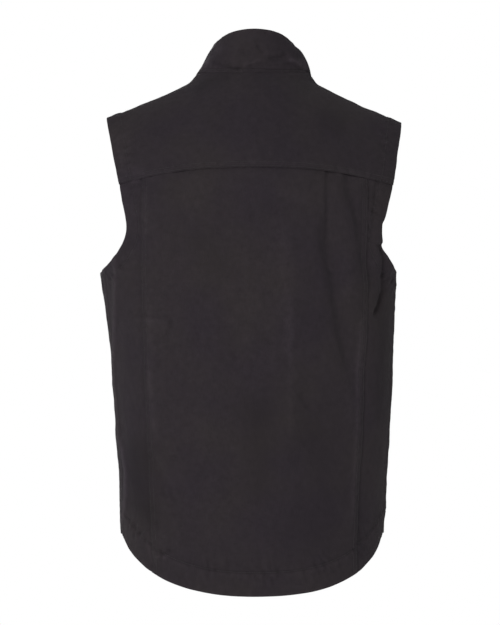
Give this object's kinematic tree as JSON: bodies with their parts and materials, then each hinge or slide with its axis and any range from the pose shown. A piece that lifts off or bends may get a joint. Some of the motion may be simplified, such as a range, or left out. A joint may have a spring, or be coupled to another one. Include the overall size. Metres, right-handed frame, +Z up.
{
  "type": "work vest",
  "caption": "Sleeveless canvas work vest with a stand collar, back yoke, pleated back and dropped tail, zipped at the front, in its worn shape.",
  "frame": {"origin": "midway between the two sides of the collar's foot, where the shoulders carry the vest", "axes": "+Z up along the spine, +X to the wearer's left, +Y out of the wearer's back"},
  "size_m": [0.4343, 0.2894, 0.7996],
  "materials": {
    "canvas": "washed cotton canvas, matt, worn lighter along its seams",
    "zip": "moulded zip teeth on a woven tape"
  },
  "bodies": {
    "root": {"back_yoke": "canvas", "back_panel": "canvas", "back_side_panel_left": "canvas", "back_side_panel_right": "canvas", "front_panel_left": "canvas", "front_panel_right": "canvas", "stand_collar": "canvas", "front_zip": "zip"}
  },
  "joints": []
}
